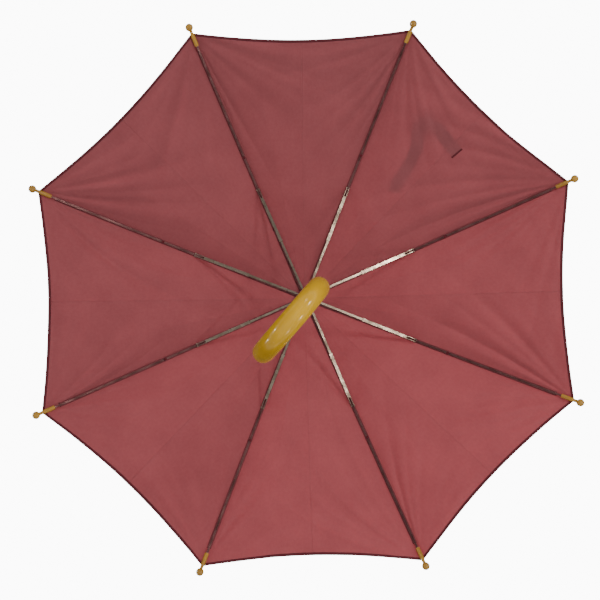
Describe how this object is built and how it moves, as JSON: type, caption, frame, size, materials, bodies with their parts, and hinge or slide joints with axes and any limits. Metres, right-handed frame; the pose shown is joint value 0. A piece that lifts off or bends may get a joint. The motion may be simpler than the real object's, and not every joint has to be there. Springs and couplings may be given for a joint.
{
  "type": "children's umbrella",
  "caption": "Small stick umbrella with a hooked handle, sliding runner, folding ribs and a scalloped fabric canopy.",
  "frame": {"origin": "on the shaft's axis, in the middle of the straight grip", "axes": "+Z along the shaft towards the ferrule; the hook lies in the XZ plane towards +X; stored open"},
  "size_m": [0.735, 0.735, 0.6417],
  "materials": {
    "plated_steel": "nickel-plated pressed steel, satin bright",
    "tube_steel": "black painted steel tube, smooth",
    "spring_steel": "bright spring steel",
    "mustard_plastic": "moulded plastic, glossy and slightly translucent",
    "black_plastic": "moulded plastic, fine satin",
    "canopy_fabric": "plain woven polyester pongee, burgundy, with a darker hem",
    "strap_fabric": "the canopy's cloth, doubled and stitched"
  },
  "bodies": {
    "frame": {"shaft_tube": "tube_steel", "handle": "mustard_plastic", "ferrule": "mustard_plastic", "canopy_cap": "black_plastic", "crown": "black_plastic", "crown_wire": "spring_steel", "runner_stop": "spring_steel"},
    "runner_slider": {"runner": "black_plastic", "runner_wire": "spring_steel"},
    "top_catch_press": {"top_catch": "spring_steel"},
    "bottom_catch_press": {"bottom_catch": "spring_steel"},
    "rib_arm_1": {"rib_1": "plated_steel", "rivet_1": "plated_steel", "rib_tip_1": "mustard_plastic"},
    "stretcher_arm_1": {"stretcher_1": "plated_steel"},
    "panel_1_left": {"canopy_1_left": "canopy_fabric"},
    "panel_1_right": {"canopy_1_right": "canopy_fabric"},
    "rib_arm_2": {"rib_2": "plated_steel", "rivet_2": "plated_steel", "rib_tip_2": "mustard_plastic"},
    "stretcher_arm_2": {"stretcher_2": "plated_steel"},
    "panel_2_left": {"canopy_2_left": "canopy_fabric"},
    "panel_2_right": {"canopy_2_right": "canopy_fabric"},
    "rib_arm_3": {"rib_3": "plated_steel", "rivet_3": "plated_steel", "rib_tip_3": "mustard_plastic"},
    "stretcher_arm_3": {"stretcher_3": "plated_steel"},
    "panel_3_left": {"canopy_3_left": "canopy_fabric"},
    "panel_3_right": {"canopy_3_right": "canopy_fabric"},
    "rib_arm_4": {"rib_4": "plated_steel", "rivet_4": "plated_steel", "rib_tip_4": "mustard_plastic"},
    "stretcher_arm_4": {"stretcher_4": "plated_steel"},
    "panel_4_left": {"canopy_4_left": "canopy_fabric", "tie_strap": "strap_fabric"},
    "panel_4_right": {"canopy_4_right": "canopy_fabric"},
    "rib_arm_5": {"rib_5": "plated_steel", "rivet_5": "plated_steel", "rib_tip_5": "mustard_plastic"},
    "stretcher_arm_5": {"stretcher_5": "plated_steel"},
    "panel_5_left": {"canopy_5_left": "canopy_fabric"},
    "panel_5_right": {"canopy_5_right": "canopy_fabric"},
    "rib_arm_6": {"rib_6": "plated_steel", "rivet_6": "plated_steel", "rib_tip_6": "mustard_plastic"},
    "stretcher_arm_6": {"stretcher_6": "plated_steel"},
    "panel_6_left": {"canopy_6_left": "canopy_fabric"},
    "panel_6_right": {"canopy_6_right": "canopy_fabric"},
    "rib_arm_7": {"rib_7": "plated_steel", "rivet_7": "plated_steel", "rib_tip_7": "mustard_plastic"},
    "stretcher_arm_7": {"stretcher_7": "plated_steel"},
    "panel_7_left": {"canopy_7_left": "canopy_fabric"},
    "panel_7_right": {"canopy_7_right": "canopy_fabric"},
    "rib_arm_8": {"rib_8": "plated_steel", "rivet_8": "plated_steel", "rib_tip_8": "mustard_plastic"},
    "stretcher_arm_8": {"stretcher_8": "plated_steel"},
    "panel_8_left": {"canopy_8_left": "canopy_fabric"},
    "panel_8_right": {"canopy_8_right": "canopy_fabric"}
  },
  "joints": [
    {"name": "umbrella_fold", "type": "hinge", "parent": "frame", "child": "rib_arm_1", "pos_m": [0.00766, 0.00369, 0.508], "axis": [-0.4337, 0.9011, 0], "range_deg": [0, 65.5]},
    {"name": "stretcher_1_swing", "type": "hinge", "parent": "rib_arm_1", "child": "stretcher_arm_1", "pos_m": [0.15277, 0.07352, 0.45876], "axis": [-0.4337, 0.9011, 0], "range_deg": [-131, 0]},
    {"name": "panel_1_left_fold", "type": "hinge", "parent": "rib_arm_1", "child": "panel_1_left", "pos_m": [0.01175, 0.00709, 0.52024], "axis": [0.838, 0.3948, -0.3766], "range_deg": [0, 73.1], "deforming": ["canopy_1_left"]},
    {"name": "panel_1_right_fold", "type": "hinge", "parent": "rib_arm_1", "child": "panel_1_right", "pos_m": [0.01287, 0.00475, 0.52024], "axis": [-0.8314, -0.4087, 0.3766], "range_deg": [0, 73.1], "deforming": ["canopy_1_right"]},
    {"name": "rib_2_fold", "type": "hinge", "parent": "frame", "child": "rib_arm_2", "pos_m": [0.00281, 0.00802, 0.508], "axis": [-0.9438, 0.3305, 0], "range_deg": [0, 65.5]},
    {"name": "stretcher_2_swing", "type": "hinge", "parent": "rib_arm_2", "child": "stretcher_arm_2", "pos_m": [0.05604, 0.16001, 0.45876], "axis": [-0.9438, 0.3305, 0], "range_deg": [-131, 0]},
    {"name": "panel_2_left_fold", "type": "hinge", "parent": "rib_arm_2", "child": "panel_2_left", "pos_m": [0.00329, 0.01332, 0.52024], "axis": [0.3134, 0.8717, -0.3766], "range_deg": [0, 73.1], "deforming": ["canopy_2_left"]},
    {"name": "panel_2_right_fold", "type": "hinge", "parent": "rib_arm_2", "child": "panel_2_right", "pos_m": [0.00574, 0.01246, 0.52024], "axis": [-0.2989, -0.8768, 0.3766], "range_deg": [0, 73.1], "deforming": ["canopy_2_right"]},
    {"name": "rib_3_fold", "type": "hinge", "parent": "frame", "child": "rib_arm_3", "pos_m": [-0.00369, 0.00766, 0.508], "axis": [-0.9011, -0.4337, 0], "range_deg": [0, 65.5]},
    {"name": "stretcher_3_swing", "type": "hinge", "parent": "rib_arm_3", "child": "stretcher_arm_3", "pos_m": [-0.07352, 0.15277, 0.45876], "axis": [-0.9011, -0.4337, 0], "range_deg": [-131, 0]},
    {"name": "panel_3_left_fold", "type": "hinge", "parent": "rib_arm_3", "child": "panel_3_left", "pos_m": [-0.00709, 0.01175, 0.52024], "axis": [-0.3948, 0.838, -0.3766], "range_deg": [0, 73.1], "deforming": ["canopy_3_left"]},
    {"name": "panel_3_right_fold", "type": "hinge", "parent": "rib_arm_3", "child": "panel_3_right", "pos_m": [-0.00475, 0.01287, 0.52024], "axis": [0.4087, -0.8314, 0.3766], "range_deg": [0, 73.1], "deforming": ["canopy_3_right"]},
    {"name": "rib_4_fold", "type": "hinge", "parent": "frame", "child": "rib_arm_4", "pos_m": [-0.00802, 0.00281, 0.508], "axis": [-0.3305, -0.9438, 0], "range_deg": [0, 65.5]},
    {"name": "stretcher_4_swing", "type": "hinge", "parent": "rib_arm_4", "child": "stretcher_arm_4", "pos_m": [-0.16001, 0.05604, 0.45876], "axis": [-0.3305, -0.9438, 0], "range_deg": [-131, 0]},
    {"name": "panel_4_left_fold", "type": "hinge", "parent": "rib_arm_4", "child": "panel_4_left", "pos_m": [-0.01332, 0.00329, 0.52024], "axis": [-0.8717, 0.3134, -0.3766], "range_deg": [0, 73.1], "deforming": ["canopy_4_left"]},
    {"name": "panel_4_right_fold", "type": "hinge", "parent": "rib_arm_4", "child": "panel_4_right", "pos_m": [-0.01246, 0.00574, 0.52024], "axis": [0.8768, -0.2989, 0.3766], "range_deg": [0, 73.1], "deforming": ["canopy_4_right"]},
    {"name": "rib_5_fold", "type": "hinge", "parent": "frame", "child": "rib_arm_5", "pos_m": [-0.00766, -0.00369, 0.508], "axis": [0.4337, -0.9011, 0], "range_deg": [0, 65.5]},
    {"name": "stretcher_5_swing", "type": "hinge", "parent": "rib_arm_5", "child": "stretcher_arm_5", "pos_m": [-0.15277, -0.07352, 0.45876], "axis": [0.4337, -0.9011, 0], "range_deg": [-131, 0]},
    {"name": "panel_5_left_fold", "type": "hinge", "parent": "rib_arm_5", "child": "panel_5_left", "pos_m": [-0.01175, -0.00709, 0.52024], "axis": [-0.838, -0.3948, -0.3766], "range_deg": [0, 73.1], "deforming": ["canopy_5_left"]},
    {"name": "panel_5_right_fold", "type": "hinge", "parent": "rib_arm_5", "child": "panel_5_right", "pos_m": [-0.01287, -0.00475, 0.52024], "axis": [0.8314, 0.4087, 0.3766], "range_deg": [0, 73.1], "deforming": ["canopy_5_right"]},
    {"name": "rib_6_fold", "type": "hinge", "parent": "frame", "child": "rib_arm_6", "pos_m": [-0.00281, -0.00802, 0.508], "axis": [0.9438, -0.3305, 0], "range_deg": [0, 65.5]},
    {"name": "stretcher_6_swing", "type": "hinge", "parent": "rib_arm_6", "child": "stretcher_arm_6", "pos_m": [-0.05604, -0.16001, 0.45876], "axis": [0.9438, -0.3305, 0], "range_deg": [-131, 0]},
    {"name": "panel_6_left_fold", "type": "hinge", "parent": "rib_arm_6", "child": "panel_6_left", "pos_m": [-0.00329, -0.01332, 0.52024], "axis": [-0.3134, -0.8717, -0.3766], "range_deg": [0, 73.1], "deforming": ["canopy_6_left"]},
    {"name": "panel_6_right_fold", "type": "hinge", "parent": "rib_arm_6", "child": "panel_6_right", "pos_m": [-0.00574, -0.01246, 0.52024], "axis": [0.2989, 0.8768, 0.3766], "range_deg": [0, 73.1], "deforming": ["canopy_6_right"]},
    {"name": "rib_7_fold", "type": "hinge", "parent": "frame", "child": "rib_arm_7", "pos_m": [0.00369, -0.00766, 0.508], "axis": [0.9011, 0.4337, 0], "range_deg": [0, 65.5]},
    {"name": "stretcher_7_swing", "type": "hinge", "parent": "rib_arm_7", "child": "stretcher_arm_7", "pos_m": [0.07352, -0.15277, 0.45876], "axis": [0.9011, 0.4337, 0], "range_deg": [-131, 0]},
    {"name": "panel_7_left_fold", "type": "hinge", "parent": "rib_arm_7", "child": "panel_7_left", "pos_m": [0.00709, -0.01175, 0.52024], "axis": [0.3948, -0.838, -0.3766], "range_deg": [0, 73.1], "deforming": ["canopy_7_left"]},
    {"name": "panel_7_right_fold", "type": "hinge", "parent": "rib_arm_7", "child": "panel_7_right", "pos_m": [0.00475, -0.01287, 0.52024], "axis": [-0.4087, 0.8314, 0.3766], "range_deg": [0, 73.1], "deforming": ["canopy_7_right"]},
    {"name": "rib_8_fold", "type": "hinge", "parent": "frame", "child": "rib_arm_8", "pos_m": [0.00802, -0.00281, 0.508], "axis": [0.3305, 0.9438, 0], "range_deg": [0, 65.5]},
    {"name": "stretcher_8_swing", "type": "hinge", "parent": "rib_arm_8", "child": "stretcher_arm_8", "pos_m": [0.16001, -0.05604, 0.45876], "axis": [0.3305, 0.9438, 0], "range_deg": [-131, 0]},
    {"name": "panel_8_left_fold", "type": "hinge", "parent": "rib_arm_8", "child": "panel_8_left", "pos_m": [0.01332, -0.00329, 0.52024], "axis": [0.8717, -0.3134, -0.3766], "range_deg": [0, 73.1], "deforming": ["canopy_8_left"]},
    {"name": "panel_8_right_fold", "type": "hinge", "parent": "rib_arm_8", "child": "panel_8_right", "pos_m": [0.01246, -0.00574, 0.52024], "axis": [-0.8768, 0.2989, 0.3766], "range_deg": [0, 73.1], "deforming": ["canopy_8_right"]},
    {"name": "runner_ride", "type": "hinge", "parent": "stretcher_arm_1", "child": "runner_slider", "pos_m": [0.00766, 0.00369, 0.40953], "axis": [-0.4337, 0.9011, 0], "range_deg": [0, 65.5]},
    {"name": "top_catch_push", "type": "slide", "parent": "frame", "child": "top_catch_press", "axis": [0.9984, 0.0558, 0], "range_m": [0, 0.0018], "stiffness_N_per_m": 800, "springref_m": -0.002},
    {"name": "bottom_catch_push", "type": "slide", "parent": "frame", "child": "bottom_catch_press", "axis": [0.9984, 0.0558, 0], "range_m": [0, 0.0018], "stiffness_N_per_m": 800, "springref_m": -0.002}
  ],
  "couplings": [
    {"joint": "stretcher_1_swing", "follows": "umbrella_fold", "ratio": -2},
    {"joint": "panel_1_left_fold", "follows": "umbrella_fold", "ratio": 1.116},
    {"joint": "panel_1_right_fold", "follows": "umbrella_fold", "ratio": 1.116},
    {"joint": "rib_2_fold", "follows": "umbrella_fold", "ratio": 1},
    {"joint": "stretcher_2_swing", "follows": "umbrella_fold", "ratio": -2},
    {"joint": "panel_2_left_fold", "follows": "umbrella_fold", "ratio": 1.116},
    {"joint": "panel_2_right_fold", "follows": "umbrella_fold", "ratio": 1.116},
    {"joint": "rib_3_fold", "follows": "umbrella_fold", "ratio": 1},
    {"joint": "stretcher_3_swing", "follows": "umbrella_fold", "ratio": -2},
    {"joint": "panel_3_left_fold", "follows": "umbrella_fold", "ratio": 1.116},
    {"joint": "panel_3_right_fold", "follows": "umbrella_fold", "ratio": 1.116},
    {"joint": "rib_4_fold", "follows": "umbrella_fold", "ratio": 1},
    {"joint": "stretcher_4_swing", "follows": "umbrella_fold", "ratio": -2},
    {"joint": "panel_4_left_fold", "follows": "umbrella_fold", "ratio": 1.116},
    {"joint": "panel_4_right_fold", "follows": "umbrella_fold", "ratio": 1.116},
    {"joint": "rib_5_fold", "follows": "umbrella_fold", "ratio": 1},
    {"joint": "stretcher_5_swing", "follows": "umbrella_fold", "ratio": -2},
    {"joint": "panel_5_left_fold", "follows": "umbrella_fold", "ratio": 1.116},
    {"joint": "panel_5_right_fold", "follows": "umbrella_fold", "ratio": 1.116},
    {"joint": "rib_6_fold", "follows": "umbrella_fold", "ratio": 1},
    {"joint": "stretcher_6_swing", "follows": "umbrella_fold", "ratio": -2},
    {"joint": "panel_6_left_fold", "follows": "umbrella_fold", "ratio": 1.116},
    {"joint": "panel_6_right_fold", "follows": "umbrella_fold", "ratio": 1.116},
    {"joint": "rib_7_fold", "follows": "umbrella_fold", "ratio": 1},
    {"joint": "stretcher_7_swing", "follows": "umbrella_fold", "ratio": -2},
    {"joint": "panel_7_left_fold", "follows": "umbrella_fold", "ratio": 1.116},
    {"joint": "panel_7_right_fold", "follows": "umbrella_fold", "ratio": 1.116},
    {"joint": "rib_8_fold", "follows": "umbrella_fold", "ratio": 1},
    {"joint": "stretcher_8_swing", "follows": "umbrella_fold", "ratio": -2},
    {"joint": "panel_8_left_fold", "follows": "umbrella_fold", "ratio": 1.116},
    {"joint": "panel_8_right_fold", "follows": "umbrella_fold", "ratio": 1.116},
    {"joint": "runner_ride", "follows": "umbrella_fold", "ratio": 1}
  ]
}
